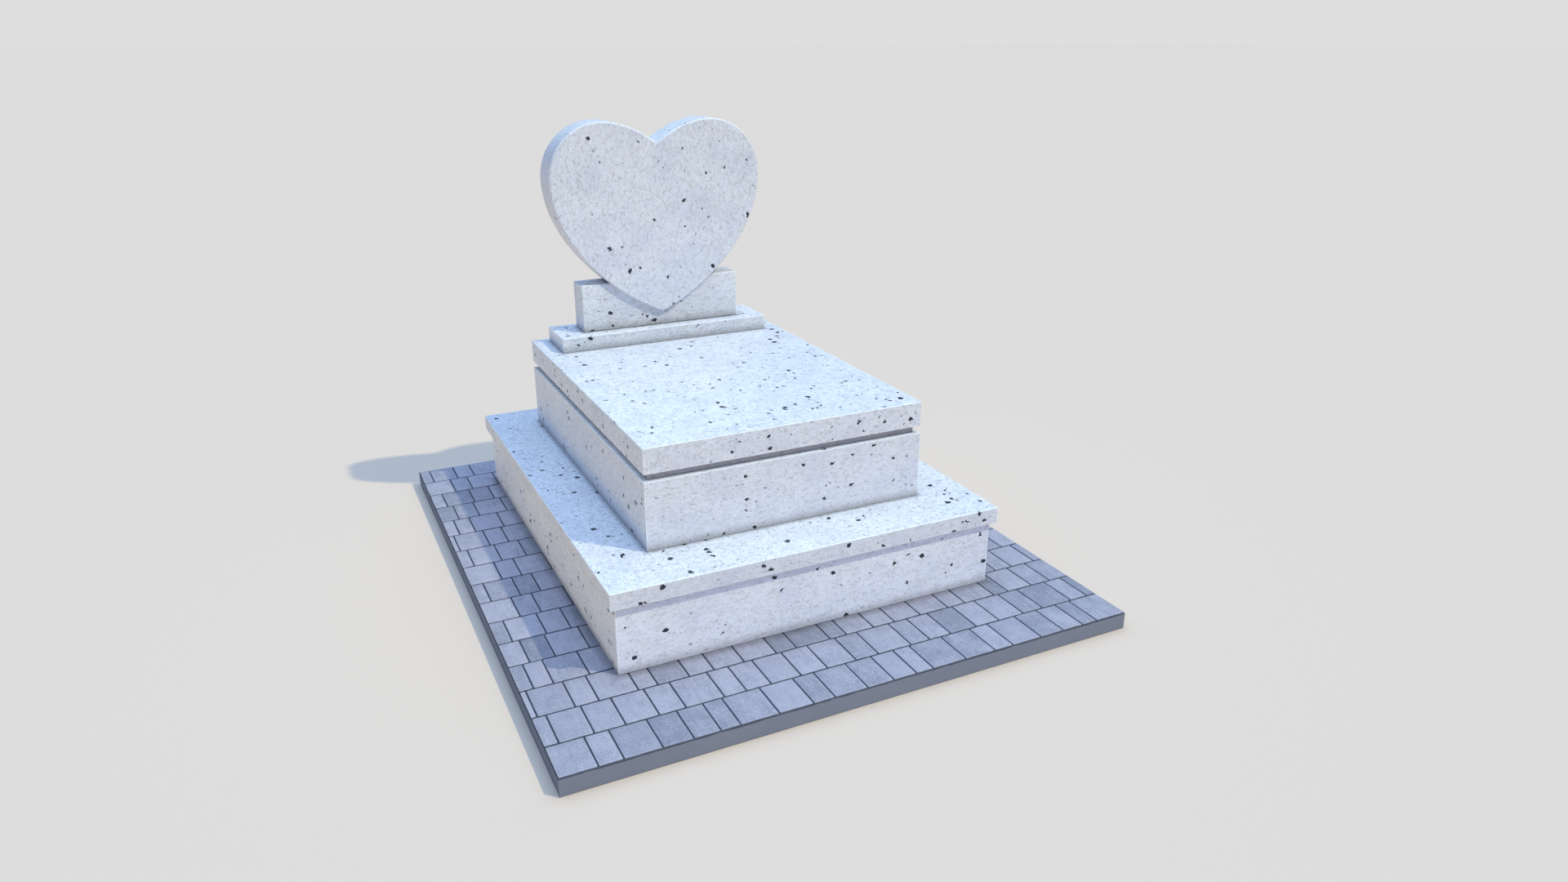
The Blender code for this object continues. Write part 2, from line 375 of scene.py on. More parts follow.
def foot_shade_mask(recipe, here, ground, height, place):
    """1 at the foot of a stone, where shade is painted, falling to 0 over an uneven height."""
    level = recipe.parts(here)[2] - ground
    uneven = 0.85 + 0.3 * recipe.noise(place, SHADE_EDGE_SCALE, 3.0)
    return recipe.eased(level / uneven, height, 0.05 * height)


def contact_shade_mask(recipe, here, low, high, width, place):
    """1 on a slab where a box stands on it, falling to 0 over an uneven width round the box; there shade
    is painted.
    """
    x, y, _ = from_middle(recipe, here, low, high)
    uneven = 0.85 + 0.3 * recipe.noise(place, SHADE_EDGE_SCALE, 3.0)
    return recipe.eased(x.most(y) / uneven, width, 0.15 * width)


print("masks ready for arrises, feet and what stands on a slab")

# %% The pale ground of the stone
CLOUD_SCALE = 8.0          # this scale and those below are in features per metre
CREAM_SCALE = 40.0
MARBLE_SCALE = 85.0
STROKE_SCALE = 200.0
GRANITE_WHITE = (0.84, 0.84, 0.89)
GRANITE_CLOUD = (0.675, 0.685, 0.795)
GRANITE_CREAM = (0.75, 0.73, 0.69)
GRANITE_MARBLE = (0.62, 0.62, 0.665)
GRANITE_STROKE = (0.43, 0.43, 0.445)


def ground_colour(recipe, place, along, clear):
    """The stone without its flecks, and its fine strokes, which the gloss follows too."""
    clouds = recipe.eased(recipe.noise(place, CLOUD_SCALE, 3.0), 0.42, 0.70)
    colour = recipe.mixed(clouds * 0.45, GRANITE_WHITE, GRANITE_CLOUD)
    cream = recipe.eased(recipe.noise(along, CREAM_SCALE, 2.0), 0.48, 0.66)
    colour = recipe.mixed(cream * 0.25, colour, GRANITE_CREAM)
    marble = recipe.eased(recipe.noise(along, MARBLE_SCALE, 5.0), 0.42, 0.70)
    colour = recipe.mixed(marble * clear * 0.45, colour, GRANITE_MARBLE)
    strokes = recipe.eased(recipe.noise(along, STROKE_SCALE, 4.0), 0.47, 0.66)
    colour = recipe.mixed(strokes * clear * (0.30 + 0.50 * marble), colour, GRANITE_STROKE)
    return colour, strokes


print("widest clouds", round(100 / CLOUD_SCALE), "cm, finest strokes", round(1000 / STROKE_SCALE), "mm")

# %% The flecks
FINEST_SCALE = 230.0
FAINT_FLECKS = (110.0, 0.018, 0.0018, 0.0050)      # per metre, share picked, least and most radius
SMALL_FLECKS = (75.0, 0.016, 0.0025, 0.0058)
MICA_SCALE = 44.0
MICA_RADII = (0.0052, 0.0104)
MICA_SHARE = 0.010         # of the cells picked where the mica lies singly
CROWDED_SHARE = 0.08       # of the cells picked besides where it crowds
CROWD_SCALE = 17.0
GRANITE_BROWN = (0.45, 0.395, 0.34)
GRANITE_GREY = (0.21, 0.235, 0.28)
MICA_BLACK = (0.010, 0.013, 0.024)


def flecked(recipe, colour, place, ragged, often):
    """The colour with its flecks, the tone of the finest grains, and where the mica is."""
    tone, rust, _ = grain_colours(recipe, ragged, FINEST_SCALE)
    colour = recipe.mixed(tone * 0.20, colour, GRANITE_STROKE)
    colour = recipe.mixed(recipe.eased(rust, 0.984, 0.990) * 0.35, colour, GRANITE_BROWN)
    faint, depth = specks(recipe, ragged, *FAINT_FLECKS)
    colour = recipe.mixed(faint * (0.20 + 0.45 * depth), colour, GRANITE_GREY)
    small, depth = specks(recipe, ragged, *SMALL_FLECKS)
    colour = recipe.mixed(small * (0.50 + 0.48 * depth), colour, MICA_BLACK)
    crowd = recipe.eased(recipe.noise(place, CROWD_SCALE, 1.0), 0.50, 0.60)
    share = (MICA_SHARE + CROWDED_SHARE * crowd) * often
    mica, _ = specks(recipe, ragged, MICA_SCALE, share, *MICA_RADII)
    return recipe.mixed(mica * 0.98, colour, MICA_BLACK), tone, mica


print("mica grains measure at most", round(2000 * MICA_RADII[1]), "mm")

# %% The granite finish
# Painted shade: the colour is darkened at the foot of each standing stone and round it on the slab below.
FOOT_SHADE_TINT = (0.68, 0.67, 0.67)
FOOT_HEIGHT = 0.042        # how high the painted shade rises on a stone
FOOT_WIDTH = 0.022         # how far it spreads on the slab below
ARRIS_WEAR_AND_HIGHLIGHT = (0.90, 0.91, 0.94)
ARRIS_REACH = 0.006        # how far the rubbed edge and its painted highlight reach over the faces
ARRIS_BREAKS = 60.0        # scale of the noise that interrupts it
TOP_CLARITY = 0.4          # how much stronger the mottle is on upward faces
RAGGED_SCALE = 105.0       # of the noise that pushes the grains' edges about
RAGGED_REACH = 0.0095
MICA_PLENTY = 0.46         # how much of the mica's share is picked on a stone with an even grain
POLISH_SCALE = 420.0       # of the fine unevenness that the polish leaves
PLAIN_SHADE = 1.0          # of a stone that is neither lighter nor darker than the rest


def plan_of(*names):
    """The box from the first of some nodes to the last."""
    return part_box(names[0])[0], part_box(names[-1])[1]


def granite(name, low, high, shift, run, standing, carried, shade):
    """The finish of one stone, sawn from its own part of the block, with its grain along run."""
    material, recipe = finish_recipe(name)
    here = recipe.node("ShaderNodeTexCoord", {}, {}, output="Object")
    place = recipe.node("ShaderNodeMapping", {}, {"Vector": here, "Location": shift})
    along = recipe.node("ShaderNodeMapping", {}, {"Vector": place, "Scale": run})
    half_run = tuple((1.0 + share) / 2 for share in run)
    often = MICA_PLENTY / math.prod(half_run) ** 3      # stretched cells are fewer, so more are picked
    grains = recipe.node("ShaderNodeMapping", {}, {"Vector": place, "Scale": half_run})
    ragged = wandering(recipe, grains, RAGGED_SCALE, RAGGED_REACH)
    normal = recipe.node("ShaderNodeNewGeometry", {}, {}, output="Normal")
    clear = 1.0 + TOP_CLARITY * recipe.eased(recipe.parts(normal)[2], 0.5, 0.9)

    colour, strokes = ground_colour(recipe, place, along, clear)
    colour, tone, mica = flecked(recipe, colour, place, ragged, often)
    # The arrises are rubbed lighter and rougher, which is wear; the lighter colour is in part a painted
    # highlight.
    broken = recipe.eased(recipe.noise(place, ARRIS_BREAKS, 2.0), 0.30, 0.5)
    wear_and_highlight = arris_mask(recipe, here, low, high, ARRIS_REACH) * broken
    colour = recipe.mixed(wear_and_highlight * 0.75, colour, ARRIS_WEAR_AND_HIGHLIGHT)
    # Painted shade at the foot of a standing stone and on the slab round the stones it carries.
    if standing:
        foot_shade = foot_shade_mask(recipe, here, low.z, FOOT_HEIGHT, place)
        colour = recipe.mixed(foot_shade, colour, FOOT_SHADE_TINT, "MULTIPLY")
    if carried:
        foot_shade = contact_shade_mask(recipe, here, *plan_of(*carried), FOOT_WIDTH, place)
        colour = recipe.mixed(foot_shade, colour, FOOT_SHADE_TINT, "MULTIPLY")
    # A whole stone lighter or darker: painted light on the kerb, painted shade in the recess, its own
    # tone on the heart and plinth.
    if shade != PLAIN_SHADE:
        colour = recipe.mixed(1.0, colour, (shade, shade, shade), "MULTIPLY")

    recipe.put(shader_socket(material, "Base Color"), colour)
    recipe.put(shader_socket(material, "Roughness"), 0.42 + 0.10 * strokes + 0.15 * wear_and_highlight - 0.14 * mica)
    relief = recipe.noise(place, POLISH_SCALE, 2.0) + 0.5 * tone - 0.8 * mica
    bump = recipe.node("ShaderNodeBump", {}, {"Height": relief, "Distance": 0.0003, "Strength": 0.35})
    recipe.put(shader_socket(material, "Normal"), bump)
    return material


# The painted shade at the foot rises this high.
print("granite ready, its damp rises", round(1000 * FOOT_HEIGHT), "mm")

# %% Dress the sawn stones
STANDING = ("kerb", "chest", "headstone_block", "headstone_plinth")
# Whole stones lighter or darker: the kerb is lightened as painted light, for light the lamps don't bring
# to it low down; the recess is darkened as painted shade, the shade under the ledger's overhang; the
# heart and the plinth are a little lighter in tone.
TONES_AND_PAINTED_LIGHT = {"kerb": 1.17, "recess": 0.58, "heart_stone": 1.04, "headstone_plinth": 1.07}
CARRIES = {"landing_slab": ("chest_left", "chest_right"), "ledger": ("headstone_plinth",),
           "headstone_plinth": ("headstone_block",)}
RUN_ALONG_X = (0.50, 1.0, 1.0)         # the smaller the number, the longer the grain that way
RUN_UPRIGHT = (1.0, 1.0, 0.60)
RUN_ALONG_Y = (1.0, 0.50, 1.0)
RUN_FLAT = (0.55, 0.50, 1.0)
FLAT = ("landing_slab", "ledger", "headstone_plinth")
PAVED = ("base_bed", "paver_course")
SAW_STEP = (3.7, 1.9, 2.3)             # metres in the block from one stone's place to the next


def grain_run(name):
    """How the grain is stretched on a stone: along its long sides, but upright on the heart."""
    if name == "heart_stone":
        return RUN_UPRIGHT
    if name in FLAT:
        return RUN_FLAT
    return RUN_ALONG_Y if name.endswith(("left", "right")) else RUN_ALONG_X


stones = sorted(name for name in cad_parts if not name.startswith(PAVED))
for number, name in enumerate(stones):
    low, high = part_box(name)
    shift = tuple(number * step for step in SAW_STEP)
    shade = next((value for start, value in TONES_AND_PAINTED_LIGHT.items() if name.startswith(start)), PLAIN_SHADE)
    finish = granite(f"granite_{name}", low, high, shift, grain_run(name), name.startswith(STANDING),
                     CARRIES.get(name), shade)
    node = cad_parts[name]
    node.data.materials.clear()
    node.data.materials.append(finish)
print(len(stones), "granite stones dressed")

# %% [markdown]
# ## Rubbed arrises
#
# A mason never leaves a sawn arris sharp, because it chips: each is rubbed to a narrow flat, which
# catches the sun as a bright line. The construction model leaves these out, so most stones are
# replaced by a copy with such a flat. A Bevel modifier would do it too, but it has no way to tell the
# mitred ends, which meet in a closed joint, or the underside that rests in its bed, from the arrises
# that are rubbed. A rule in code does: both faces beside an arris are square to the axes. The heart
# gets its own outline in the next step, and the recess lies too deep in its shadow to show.

# %% Rub the arrises
ARRIS_WIDTH = 0.003        # how far the flat cuts back each face
NOT_RUBBED = ("heart_stone", "recess_course")
CRISP = math.radians(30.0) # edges sharper than this aren't shaded smooth
HAIR = 1e-4                # metres; heights closer than this count as the same


def piece_from(bm, name, materials):
    """A finished mesh object, smooth but for its crisp edges."""
    bmesh.ops.recalc_face_normals(bm, faces=bm.faces)
    mesh = bpy.data.meshes.new(name)
    bm.to_mesh(mesh)
    bm.free()
    for material in materials:
        mesh.materials.append(material)
    mesh.shade_smooth()
    mesh.set_sharp_from_angle(angle=CRISP)
    obj = bpy.data.objects.new(name, mesh)
    bpy.context.scene.collection.objects.link(obj)
    return obj


def is_square(face):
    """Whether a face is at right angles to an axis."""
    return max(abs(part) for part in face.normal) > 0.9999


def arrises(bm, ground, standing):
    """The edges between two square faces, without those that a standing stone rests on."""
    found = []
    for edge in bm.edges:
        resting = standing and all(v.co.z < ground + HAIR for v in edge.verts)
        if not resting and all(is_square(face) for face in edge.link_faces):
            found.append(edge)
    return found


def rubbed(name):
    """A copy of a stone with its loose triangles joined and its arrises rubbed to flats."""
    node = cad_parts[name]
    bm = bmesh.new()
    bm.from_mesh(node.data)
    bmesh.ops.remove_doubles(bm, verts=bm.verts, dist=1e-5)
    bmesh.ops.dissolve_limit(bm, angle_limit=math.radians(1.0), verts=bm.verts, edges=bm.edges)
    edges = arrises(bm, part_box(name)[0].z, name.startswith(STANDING))
    bmesh.ops.bevel(bm, geom=edges, offset=ARRIS_WIDTH, segments=1, affect="EDGES")
    return piece_from(bm, f"rubbed_{name}", [node.data.materials[0]])


for name in stones:
    if name not in NOT_RUBBED:
        piece = rubbed(name)
        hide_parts(name)
        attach(piece, "root")
        print(piece.name, "has", len(piece.data.polygons), "faces")

# %% [markdown]
# ## The heart
#
# The heart is one thick plate of granite, sawn to its outline with a chamfer of 6 mm all round. The
# construction model has it in short straight pieces, so here it is cut again from the same curves:
# each half is two Bezier curves, from the cleft over the lobe to the widest place, and from there
# down to the point. A curve object with a bevel would give the plate too, but its bevel grows the
# outline, while here the faces are drawn in by the chamfer and the plate keeps its size.

# %% The heart's curves
CLEFT_SHARE = 0.888                    # heights are shares of the heart's height,
SHOULDER_SHARE = 0.713                 # and widths are shares of half its width
CLEFT_HANDLE_SHARES = (0.598, 0.252)   # across and up
RISE_HANDLE_SHARE = 0.205
FALL_HANDLE_SHARE = 0.347
POINT_HANDLE_SHARES = (0.386, 0.084)
OUTLINE_STEPS = 90                     # points along each curve


def half_curves(half, height):
    """The right half, from the cleft to the point, with the point at 0."""
    cleft = Vector((0.0, CLEFT_SHARE * height, 0.0))
    shoulder = Vector((half, SHOULDER_SHARE * height, 0.0))
    point = Vector((0.0, 0.0, 0.0))
    across, up = CLEFT_HANDLE_SHARES
    cleft_handle = cleft + Vector((across * half, up * height, 0.0))
    rise_handle = shoulder + Vector((0.0, RISE_HANDLE_SHARE * height, 0.0))
    fall_handle = shoulder - Vector((0.0, FALL_HANDLE_SHARE * height, 0.0))
    across, up = POINT_HANDLE_SHARES
    point_handle = Vector((across * half, up * height, 0.0))
    lobe = interpolate_bezier(cleft, cleft_handle, rise_handle, shoulder, OUTLINE_STEPS)
    flank = interpolate_bezier(shoulder, fall_handle, point_handle, point, OUTLINE_STEPS)
    return lobe[:-1] + flank


def fitted_height(half, wanted):
    """The height to give the curves so that the top of the lobes comes out as wanted."""
    return wanted / max(p.y for p in half_curves(half, 1.0))


def heart_outline(low, high):
    """Points round the heart in X and Z: one half from the curves, the other its mirror image."""
    half = (high.x - low.x) / 2
    curves_height = fitted_height(half, high.z - low.z)
    right = [(p.x, low.z + p.y) for p in half_curves(half, curves_height)]
    return right + [(-x, z) for x, z in right[-2:0:-1]]


print("the curves are stretched", round(fitted_height(1.0, 1.0), 5), "times to reach the lobes' top")

# %% Cut the heart
HEART_CHAMFER = 0.006


def drawn_in(outline, width):
    """The outline moved inwards by a width, with its corners kept."""
    moved = []
    for before, here, after in zip(outline[-1:] + outline[:-1], outline, outline[1:] + outline[:1]):
        first = (Vector(here) - Vector(before)).normalized()
        second = (Vector(after) - Vector(here)).normalized()
        outward = Vector((-first.y - second.y, first.x + second.x)) / (1.0 + first.dot(second))
        moved.append(tuple(Vector(here) - outward * width))
    return moved


def plate(outline, front, back, chamfer):
    """A closed plate between two planes along Y, chamfered round both faces."""
    small = drawn_in(outline, chamfer)
    bm = bmesh.new()
    rings = [[bm.verts.new((x, y, z)) for x, z in points] for points, y in (
        (small, front), (outline, front + chamfer), (outline, back - chamfer), (small, back))]
    for near, far in zip(rings, rings[1:]):
        for i in range(len(near)):
            j = (i + 1) % len(near)
            bm.faces.new((near[i], near[j], far[j], far[i]))
    bm.faces.new(rings[0])
    bm.faces.new(rings[-1])
    return bm


low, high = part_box("heart_stone")
bm = plate(heart_outline(low, high), low.y, high.y, HEART_CHAMFER)
heart = piece_from(bm, "heart", [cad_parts["heart_stone"].data.materials[0]])
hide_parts("heart_stone")
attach(heart, "root")
print("heart has", len(heart.data.polygons), "faces")

# %% [markdown]
# ## Pavers
#
# The base is paved with small concrete setts in courses of one depth and many widths. Where each
# sett lies is read from the construction model: the top of a course holds only its setts, so the
# sorted X values of its top corners give the left and right of each in turn. Placing hundreds of
# blocks by hand or by an Array modifier can't give such a pattern.
#
# Geometry Nodes lay them. Every sett is the same small grid block, and one rule stretches it: its
# middle is stretched to size while its rim keeps its width, so all setts have the same worn
# edge. A noise pulls the edges in here and there, since no two setts are cast alike.

# %% Read where the setts lie
SIDE_GROWTH = 0.0010       # how far each side reaches into the joint, as the worn edge draws back
END_GROWTH = 0.0002        # the same for front and back


def setts_of(course):
    """The left, right, front, back and top of each sett in one course of the construction model."""
    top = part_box(course)[1].z
    corners = [v.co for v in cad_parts[course].data.vertices if v.co.z > top - HAIR]
    front = min(c.y for c in corners)
    back = max(c.y for c in corners)
    across = sorted({round(c.x, 5) for c in corners})
    return [(left, right, front, back, top) for left, right in zip(across[0::2], across[1::2])]


courses = sorted(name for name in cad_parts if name.startswith("paver_course"))
setts = [sett for course in courses for sett in setts_of(course)]
centres = [((left + right) / 2, (front + back) / 2, top) for left, right, front, back, top in setts]
halves = [((right - left) / 2 + SIDE_GROWTH, (back - front) / 2 + END_GROWTH, 0.0)
          for left, right, front, back, _ in setts]
print(len(setts), "setts in", len(courses), "courses")

# %% The points they lie on
sett_mesh = bpy.data.meshes.new("sett_points")
sett_mesh.from_pydata(centres, [], [])
half_size = sett_mesh.attributes.new("half_size", "FLOAT_VECTOR", "POINT")
half_size.data.foreach_set("vector", [value for half in halves for value in half])
sett_points = bpy.data.objects.new("sett_points", sett_mesh)
bpy.context.scene.collection.objects.link(sett_points)
print(len(sett_mesh.vertices), "points, one in the middle of each sett's top")

# %% How a block is stretched to a sett
SETT_GRID = 6              # points along each side of the grid block, which reaches from -1 to 1
RIM_SHARE = 3.0 / 5.0      # where the rim begins on it; one row of faces lies beyond


def named(recipe, name, kind):
    """A value that was kept at the points under a name."""
    return recipe.node("GeometryNodeInputNamedAttribute", {"data_type": kind}, {"Name": name})


def stored(recipe, geometry, name, kind, value):
    """The geometry with a value kept at each of its points under a name."""
    sockets = {"Geometry": geometry, "Name": name, "Value": value}
    return recipe.node("GeometryNodeStoreNamedAttribute", {"data_type": kind, "domain": "POINT"}, sockets)


def stretched(unit, half, rim):
    """Where a coordinate of the block goes, and how far it then is from the sett's edge."""
    reach = abs(unit)
    middle = (reach / RIM_SHARE).least(1.0)
    outer = ((reach - RIM_SHARE) / (1.0 - RIM_SHARE)).most(0.0)
    length = middle * (half - rim) + outer * rim
    return unit.maths("SIGN", unit) * length, half - length


print("each block has", 2 * (SETT_GRID - 1) ** 2 + 4 * (SETT_GRID - 1), "faces")

# %% Blocks on the points
def blocks_laid(recipe, points, seed):
    """A grid block on each point, with the sett's random values and each point's place on its block."""
    place = recipe.node("GeometryNodeInputPosition", {}, {})
    index = recipe.node("GeometryNodeInputIndex", {}, {})
    points = stored(recipe, points, "centre", "FLOAT_VECTOR", place)
    for number, name in enumerate(("tone", "hue", "sunk")):
        chance = recipe.node("FunctionNodeRandomValue", {"data_type": "FLOAT"},
                             {"ID": index, "Seed": seed + float(number)}, output=1)
        points = stored(recipe, points, name, "FLOAT", chance)
    block = recipe.node("GeometryNodeMeshCube", {}, {
        "Size": (2.0, 2.0, 1.0), "Vertices X": SETT_GRID, "Vertices Y": SETT_GRID})
    block = stored(recipe, block, "unit", "FLOAT_VECTOR", place)
    laid = recipe.node("GeometryNodeInstanceOnPoints", {}, {"Points": points, "Instance": block})
    return recipe.node("GeometryNodeRealizeInstances", {}, {"Geometry": laid})


print("blocks will be laid on", len(setts), "points")

# %% The shape of a worn sett
WAVER_SCALE = 38.0         # waves per metre along the edges


def worn_place(recipe, rim, fall, waver, uneven, underside):
    """Where each point of a block goes on its sett, and how near the sett's edge it is, up to 1."""
    unit_x, unit_y, unit_z = recipe.parts(named(recipe, "unit", "FLOAT_VECTOR"))
    half_x, half_y, _ = recipe.parts(named(recipe, "half_size", "FLOAT_VECTOR"))
    x, gap_x = stretched(unit_x, half_x, rim)
    y, gap_y = stretched(unit_y, half_y, rim)
    edge = 1.0 - (gap_x.least(gap_y) / rim).least(1.0)
    centre = named(recipe, "centre", "FLOAT_VECTOR")
    flat = recipe.node("ShaderNodeCombineXYZ", {}, {"X": x, "Y": y, "Z": 0.0})
    wobble = recipe.noise(recipe.vector("ADD", centre, flat), WAVER_SCALE, 2.0) * waver * edge
    x = x * (1.0 - wobble / half_x)
    y = y * (1.0 - wobble / half_y)
    centre_x, centre_y, top = recipe.parts(centre)
    upper = unit_z.maths("GREATER_THAN", unit_z, 0.0)
    surface = top - fall * edge * edge - uneven * named(recipe, "sunk", "FLOAT")
    z = surface * upper + underside * (1.0 - upper)
    moved = recipe.node("ShaderNodeCombineXYZ", {}, {"X": centre_x + x, "Y": centre_y + y, "Z": z})
    return moved, edge


print("edges waver about", round(1000 / WAVER_SCALE), "mm from crest to crest")

# %% The paving tree
def paving_tree():
    """Geometry Nodes: points with half sizes in, setts with rubbed edges out."""
    tree = bpy.data.node_groups.new("paving", "GeometryNodeTree")
    for name, kind in (("Points", "Geometry"), ("Rim", "Float"), ("Fall", "Float"), ("Waver", "Float"),
                       ("Unevenness", "Float"), ("Underside", "Float"), ("Seed", "Int"),
                       ("Finish", "Material")):
        tree.interface.new_socket(name, in_out="INPUT", socket_type=f"NodeSocket{kind}")
    tree.interface.new_socket("Setts", in_out="OUTPUT", socket_type="NodeSocketGeometry")
    recipe = Recipe(tree)
    outputs = tree.nodes.new("NodeGroupInput").outputs
    given = {output.name: Wire(recipe, output) for output in outputs if output.name}

    laid = blocks_laid(recipe, given["Points"], given["Seed"])
    sizes = (given[name] for name in ("Rim", "Fall", "Waver", "Unevenness", "Underside"))
    moved, edge = worn_place(recipe, *sizes)
    shaped = recipe.node("GeometryNodeSetPosition", {}, {"Geometry": laid, "Position": moved})
    shaped = stored(recipe, shaped, "edge", "FLOAT", edge)
    shaped = recipe.node("GeometryNodeSetShadeSmooth", {}, {"Geometry": shaped})
    shaped = recipe.node("GeometryNodeSetMaterial", {}, {"Geometry": shaped, "Material": given["Finish"]})
    recipe.put(tree.nodes.new("NodeGroupOutput").inputs["Setts"], shaped)
    return tree


tree = paving_tree()
print("paving tree has", len(tree.nodes), "nodes")

# %% [markdown]
# ## The finish of the setts
#
# Cast setts of one batch differ in tone, and rain and feet leave soft clouds on them. Their rims
# are rubbed pale and the very edge is dark with dirt. A material for each tone would be many to
# keep alike. Instead, the Geometry Nodes tree left three values on each sett: its tone, its hue and
# how near each point is to the edge. Attribute nodes read them here, and Object coordinates carry
# the clouds and the fine grit.

# %% Sett finish
SETT_LIGHT = (0.40, 0.382, 0.45)
SETT_DARK = (0.208, 0.213, 0.265)
SETT_WARM = (0.345, 0.325, 0.395)
SETT_RIM = (0.50, 0.495, 0.595)
JOINT_DIRT = (0.08, 0.09, 0.125)
SETT_FOOT_WIDTH = 0.045    # how far the painted shade spreads from the kerb
SETT_CLOUD_SCALE = 13.0
PATCH_SCALE = 45.0
SETT_GRAIN_SCALE = 260.0
STREAK_SCALE = 70.0
STREAK_STRETCH = (1.0, 0.12, 1.0)      # drawn out from front to back
BATCH_REACH = 9.0          # metres; how far apart two setts may lie in the pattern


def attribute(recipe, name):
    """A number that the paving tree left at the points."""
    return recipe.node("ShaderNodeAttribute", {"attribute_name": name}, {}, output="Fac")


def sett_finish():
    """Clouds, patches, fine grain and faint streaks, with a rubbed rim and dirt at the very edge."""
    material, recipe = finish_recipe("sett_concrete")
    here = recipe.node("ShaderNodeTexCoord", {}, {}, output="Object")
    tone, hue, edge = (attribute(recipe, name) for name in ("tone", "hue", "edge"))
    batch = recipe.node("ShaderNodeCombineXYZ", {},
                        {"X": BATCH_REACH * tone, "Y": BATCH_REACH * hue, "Z": 0.0})
    place = recipe.vector("ADD", here, batch)

    clouds = recipe.noise(place, SETT_CLOUD_SCALE, 3.0)
    patches = recipe.noise(place, PATCH_SCALE, 2.0)
    grain = recipe.noise(place, SETT_GRAIN_SCALE, 3.0)
    drawn = recipe.node("ShaderNodeMapping", {}, {"Vector": place, "Scale": STREAK_STRETCH})
    streaks = recipe.noise(drawn, STREAK_SCALE, 2.0)
    darkness = (0.18 + 0.68 * tone * tone + (clouds - 0.5) + 0.4 * (patches - 0.5)
                + 2.4 * (grain - 0.5) + 0.7 * (streaks - 0.5))
    darkness = recipe.node("ShaderNodeClamp", {}, {"Value": darkness})
    colour = recipe.mixed(darkness, SETT_LIGHT, SETT_DARK)
    colour = recipe.mixed(recipe.eased(hue, 0.60, 1.0) * 0.5, colour, SETT_WARM)
    colour = recipe.mixed(recipe.eased(edge, 0.05, 0.5) * patches * 0.6, colour, SETT_RIM)
    dirt = recipe.eased(edge + 0.5 * (patches - 0.5), 0.75, 1.05)
    colour = recipe.mixed(dirt * 0.8, colour, JOINT_DIRT)
    # Painted shade on the setts round the kerb's foot.
    foot_shade = contact_shade_mask(recipe, here, *plan_of("kerb_left", "kerb_right"), SETT_FOOT_WIDTH, place)
    colour = recipe.mixed(foot_shade, colour, FOOT_SHADE_TINT, "MULTIPLY")

    recipe.put(shader_socket(material, "Base Color"), colour)
    recipe.put(shader_socket(material, "Roughness"), 0.66 + 0.25 * grain)
    relief = grain + 1.2 * patches
    bump = recipe.node("ShaderNodeBump", {}, {"Height": relief, "Distance": 0.0010, "Strength": 0.6})
    recipe.put(shader_socket(material, "Normal"), bump)
    return material


setts_material = sett_finish()
print("sett finish has", len(setts_material.node_tree.nodes), "nodes")

# %% Lay the setts
PAVING_INPUTS = {
    "Rim": 0.005,          # width of the worn rim
    "Fall": 0.0015,        # how far the edge lies below the top
    "Waver": 0.0024,       # how far the noise may pull an edge in
    "Unevenness": 0.0006,  # how deep a sett may have sunk
    "Underside": 0.058,    # its level, hidden in the bed
    "Seed": 11,
    "Finish": setts_material,
}

layer = sett_points.modifiers.new("paving", "NODES")
layer.node_group = tree
for item in tree.interface.items_tree:
    if item.in_out == "INPUT" and item.name in PAVING_INPUTS:
        layer[item.identifier] = PAVING_INPUTS[item.name]
shown = sett_points.evaluated_get(bpy.context.evaluated_depsgraph_get())
pavers = bpy.data.objects.new("pavers", bpy.data.meshes.new_from_object(shown))
sett_points.modifiers.clear()
bpy.data.objects.remove(sett_points)
bpy.context.scene.collection.objects.link(pavers)
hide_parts(*courses)
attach(pavers, "root")
pavers.data.calc_loop_triangles()
print("pavers:", len(pavers.data.loop_triangles), "triangles")

# %% [markdown]
# ## The bed under the setts
#
# The setts lie on a cast slab whose sides are left plain, and the sand in the joints has turned
# dark. One closed block is both: its top lies at the level of the sand, which has also stained the
# uppermost strip of its sides. Its upper arris and the strip's lower edge waver a little. A bevel
# and a painted stripe would come out dead straight, so rings of points round the slab are placed
# in code, and the faces between the upper rings get the finish of the sand.

# %% Mix the concrete and the sand
CONCRETE_CLOUD_SCALE = 6.0
CONCRETE_GRIT_SCALE = 350.0
PORE_SCALE = 150.0
SAND_GRIT_SCALE = 500.0
CONCRETE_GREY = (0.215, 0.232, 0.285)
CONCRETE_PALE = (0.255, 0.272, 0.32)
SAND_DARK = (0.030, 0.035, 0.052)
SAND_LIGHT = (0.085, 0.095, 0.125)


def concrete_finish():
    """Plain grey concrete with faint clouds, grit and small pores."""
    material, recipe = finish_recipe("bed_concrete")
    place = recipe.node("ShaderNodeTexCoord", {}, {}, output="Object")
    clouds = recipe.noise(place, CONCRETE_CLOUD_SCALE, 4.0)
    grit = recipe.noise(place, CONCRETE_GRIT_SCALE, 2.0)
    pores = recipe.eased(recipe.noise(place, PORE_SCALE, 1.0), 0.72, 0.78)
    colour = recipe.mixed(recipe.eased(clouds, 0.35, 0.75) * 0.35, CONCRETE_GREY, CONCRETE_PALE)
    colour = recipe.mixed(grit * 0.15 + pores * 0.3, colour, SAND_LIGHT)
    recipe.put(shader_socket(material, "Base Color"), colour)
    recipe.put(shader_socket(material, "Roughness"), 0.80 + 0.15 * grit)
    relief = grit - 2.0 * pores
    bump = recipe.node("ShaderNodeBump", {}, {"Height": relief, "Distance": 0.0006, "Strength": 0.6})
    recipe.put(shader_socket(material, "Normal"), bump)
    return material


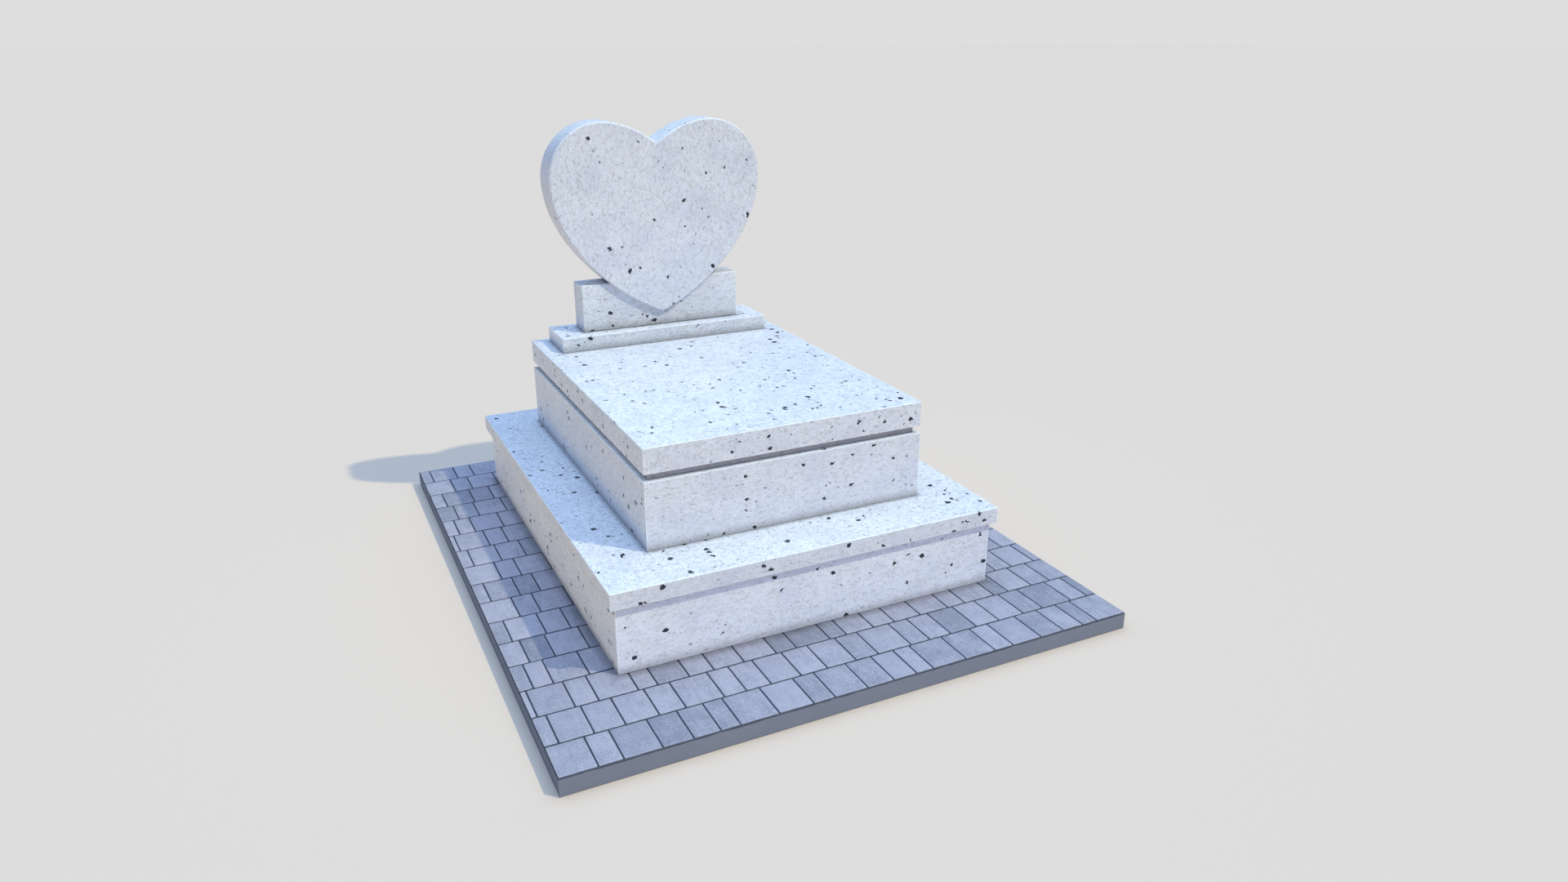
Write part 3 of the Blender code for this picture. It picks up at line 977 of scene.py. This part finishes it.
def sand_finish():
    """Dark sand, wet through."""
    material, recipe = finish_recipe("joint_sand")
    place = recipe.node("ShaderNodeTexCoord", {}, {}, output="Object")
    grit = recipe.noise(place, SAND_GRIT_SCALE, 2.0)
    recipe.put(shader_socket(material, "Base Color"), recipe.mixed(grit * 0.6, SAND_DARK, SAND_LIGHT))
    bump = recipe.node("ShaderNodeBump", {}, {"Height": grit, "Distance": 0.001, "Strength": 1.0})
    recipe.put(shader_socket(material, "Normal"), bump)
    return material


bed_finishes = [concrete_finish(), sand_finish()]
print(len(bed_finishes), "finishes mixed")

# %% Points round the bed
BED_STEP = 0.015           # from one point to the next
TOP_WAVER = 0.0009         # how far the upper arris wavers, about a line that lies as far inside
TOP_WAVES = 14             # per metre
STAIN_WAVER = 0.0028       # how far the strip's lower edge wavers up and down
STAIN_WAVES = 23


def wavering(point, per_metre, far):
    """A smooth random value about between -far and far, which follows the place in plan."""
    return far * noise.noise(Vector((point.x * per_metre, point.y * per_metre, 5.0)))


def ring_round(low, high, step):
    """Points round a rectangle in plan, each with its outward direction."""
    points = []
    corners = [(low.x, low.y), (high.x, low.y), (high.x, high.y), (low.x, high.y)]
    for k in range(4):
        start = Vector(corners[k])
        run = Vector(corners[(k + 1) % 4]) - start
        out = Vector((run.y, -run.x)).normalized()
        count = round(run.length / step)
        points += [(start + run * i / count, out) for i in range(count)]
    return points


def bed_ring(bm, low, high, level, inset, sideways, upright):
    """A closed ring of new points at a level, which may waver sideways or up and down."""
    ring = []
    for point, out in ring_round(low, high, BED_STEP):
        pulled = point - out * inset + out * (wavering(point, TOP_WAVES, sideways) - sideways)
        held = (min(max(pulled.x, low.x + inset), high.x - inset),
                min(max(pulled.y, low.y + inset), high.y - inset))
        ring.append(bm.verts.new((*held, level + wavering(point, STAIN_WAVES, upright))))
    return ring


low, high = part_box("base_bed")
print(len(ring_round(low, high, BED_STEP)), "points in each ring")

# %% Cast the bed
JOINT_DEPTH = 0.004        # of the sand below the setts' tops
ARRIS_ROLL = 0.0016        # width of the flat along the upper arris
FOOT_FLAT = (0.0012, 0.002)            # in and up, along the lower arris
STAIN_HEIGHT = 0.0042      # of the stained strip
CONCRETE_SIDES = 2         # rows of faces with the finish of concrete; those above have the sand's

sand_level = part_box(courses[0])[1].z - JOINT_DEPTH
LEVELS = (                 # level, how far inside the box, waver sideways, waver up and down
    (low.z, FOOT_FLAT[0], 0.0, 0.0),
    (low.z + FOOT_FLAT[1], 0.0, 0.0, 0.0),
    (sand_level - STAIN_HEIGHT, 0.0, 0.0, STAIN_WAVER),
    (sand_level - ARRIS_ROLL, 0.0, 0.0, 0.0),
    (sand_level, ARRIS_ROLL, TOP_WAVER, 0.0),
)
bm = bmesh.new()
rings = [bed_ring(bm, low, high, *row) for row in LEVELS]
for number, (lower, upper) in enumerate(zip(rings, rings[1:])):
    for i in range(len(lower)):
        j = (i + 1) % len(lower)
        side = bm.faces.new((lower[i], lower[j], upper[j], upper[i]))
        side.material_index = int(number >= CONCRETE_SIDES)
bm.faces.new(rings[0][::-1])
sand_top = bm.faces.new(rings[-1])
sand_top.material_index = 1
bed = piece_from(bm, "bed", bed_finishes)
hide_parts("base_bed")
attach(bed, "root")
spare(bpy.data.objects["panel_left"], bed)
print("bed has", len(bed.data.polygons), "faces")
